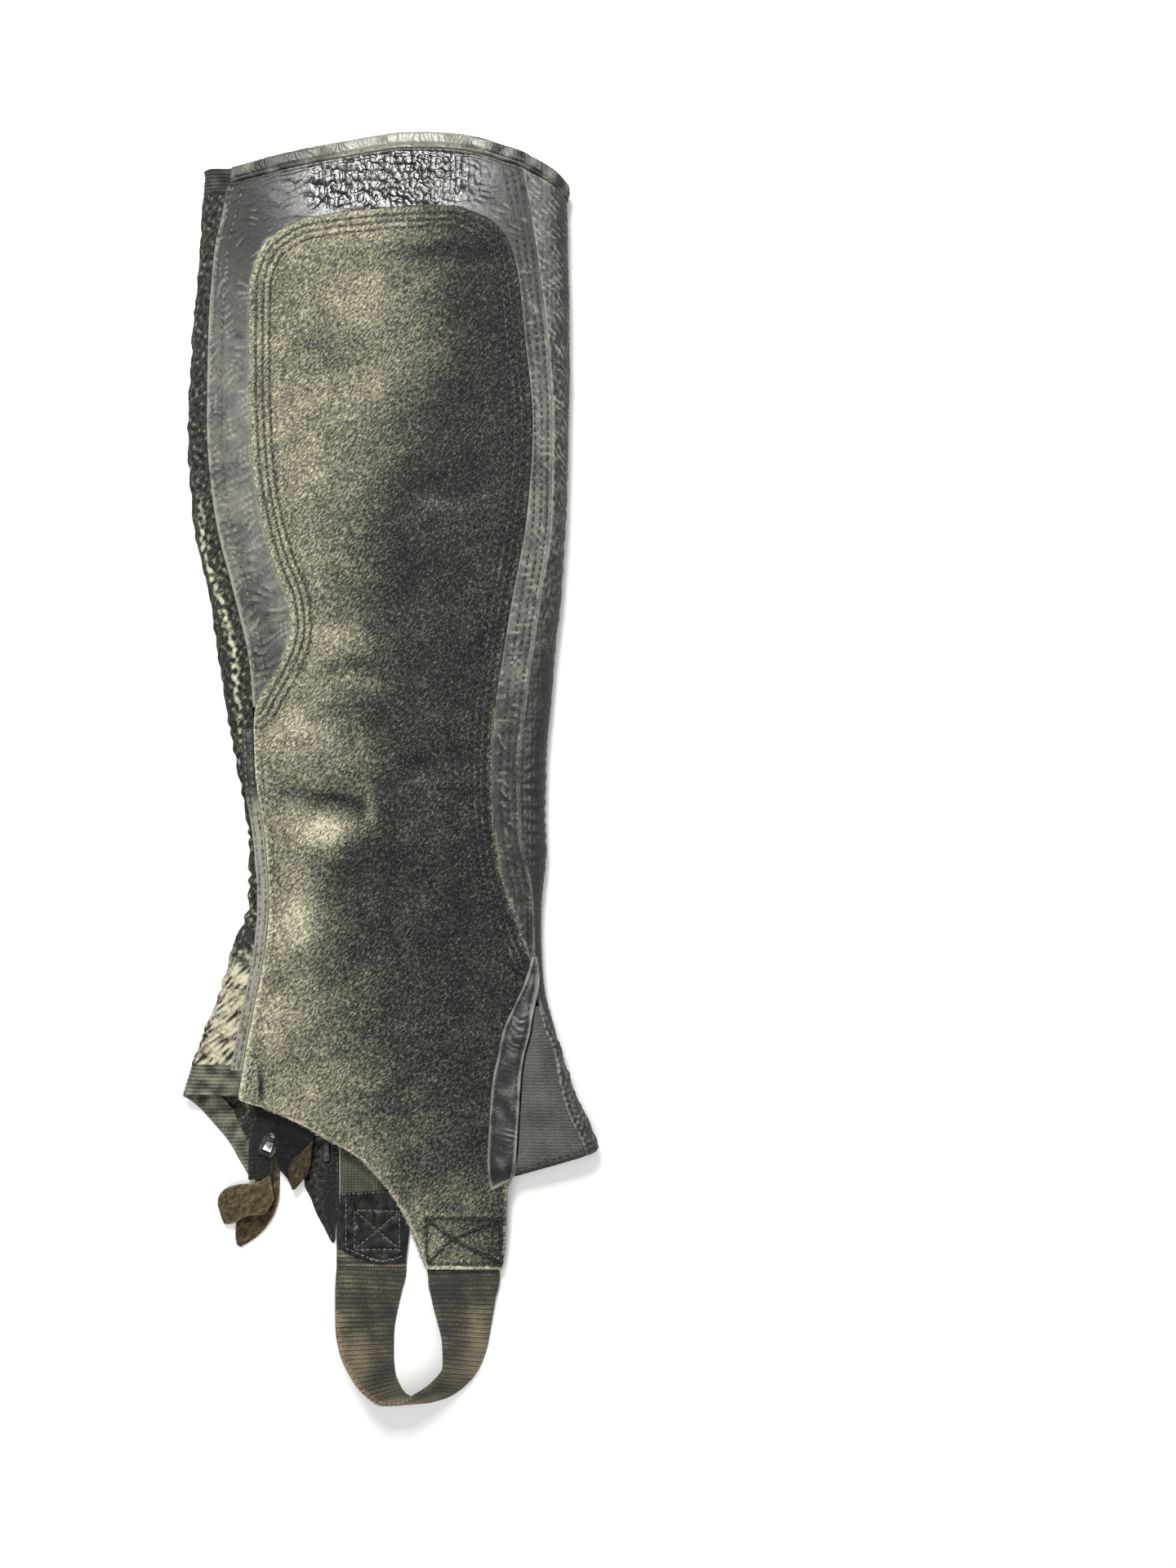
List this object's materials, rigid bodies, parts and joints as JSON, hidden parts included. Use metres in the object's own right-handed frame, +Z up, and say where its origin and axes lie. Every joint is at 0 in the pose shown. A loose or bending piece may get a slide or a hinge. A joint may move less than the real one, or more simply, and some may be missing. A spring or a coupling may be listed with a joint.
{
  "type": "half chap",
  "caption": "Leather half chap lying flat: suede inner grip, leather frame, stretch back panel, open rear zip, elastic gusset and stirrup strap.",
  "frame": {"origin": "under the middle of the chap's box, on the surface it lies on", "axes": "+Y from the stirrup strap to the knee, +X to the front of the leg, +Z up from the outer side, which is down, to the inner side"},
  "size_m": [0.1929, 0.5926, 0.0273],
  "materials": {
    "black_suede": "worn nap, dusty, matt",
    "black_leather": "grained, semi-gloss, creased",
    "stretch_nubuck": "ruched, matt, dusty",
    "rib_elastic": "fine rib, matt",
    "grey_elastic": "fine weave, matt",
    "olive_knit": "vertical rib, matt",
    "strap_webbing": "cross-ribbed, stained, matt",
    "zip_tape": "woven, matt",
    "zip_plastic": "moulded",
    "worn_nickel": "worn plating",
    "olive_suede": "raw suede, matt"
  },
  "bodies": {
    "root": {"suede_grip_panel": "black_suede", "leather_frame": "black_leather", "outer_leather_panel": "black_leather", "top_binding": "black_leather", "back_stretch_panel": "stretch_nubuck", "back_top_cuff": "rib_elastic", "back_hem_cuff": "rib_elastic", "back_seam_tape": "black_leather", "ankle_trim": "black_leather", "ankle_gusset": "grey_elastic", "gusset_binding": "black_leather", "knit_insert": "olive_knit", "strap_tab": "black_leather", "stirrup_strap": "strap_webbing", "zip_tape_back": "zip_tape", "zip_tape_front": "zip_tape", "zip_tape_front_end": "zip_tape", "zip_chain_back": "zip_plastic", "zip_chain_front": "zip_plastic", "zip_slider": "worn_nickel", "zip_pin": "zip_plastic", "zip_guard": "stretch_nubuck", "guard_flap": "black_leather", "guard_flap_corner": "olive_suede", "zip_pull_lower_leaf": "olive_suede", "zip_pull_upper_leaf": "olive_suede"}
  },
  "joints": []
}
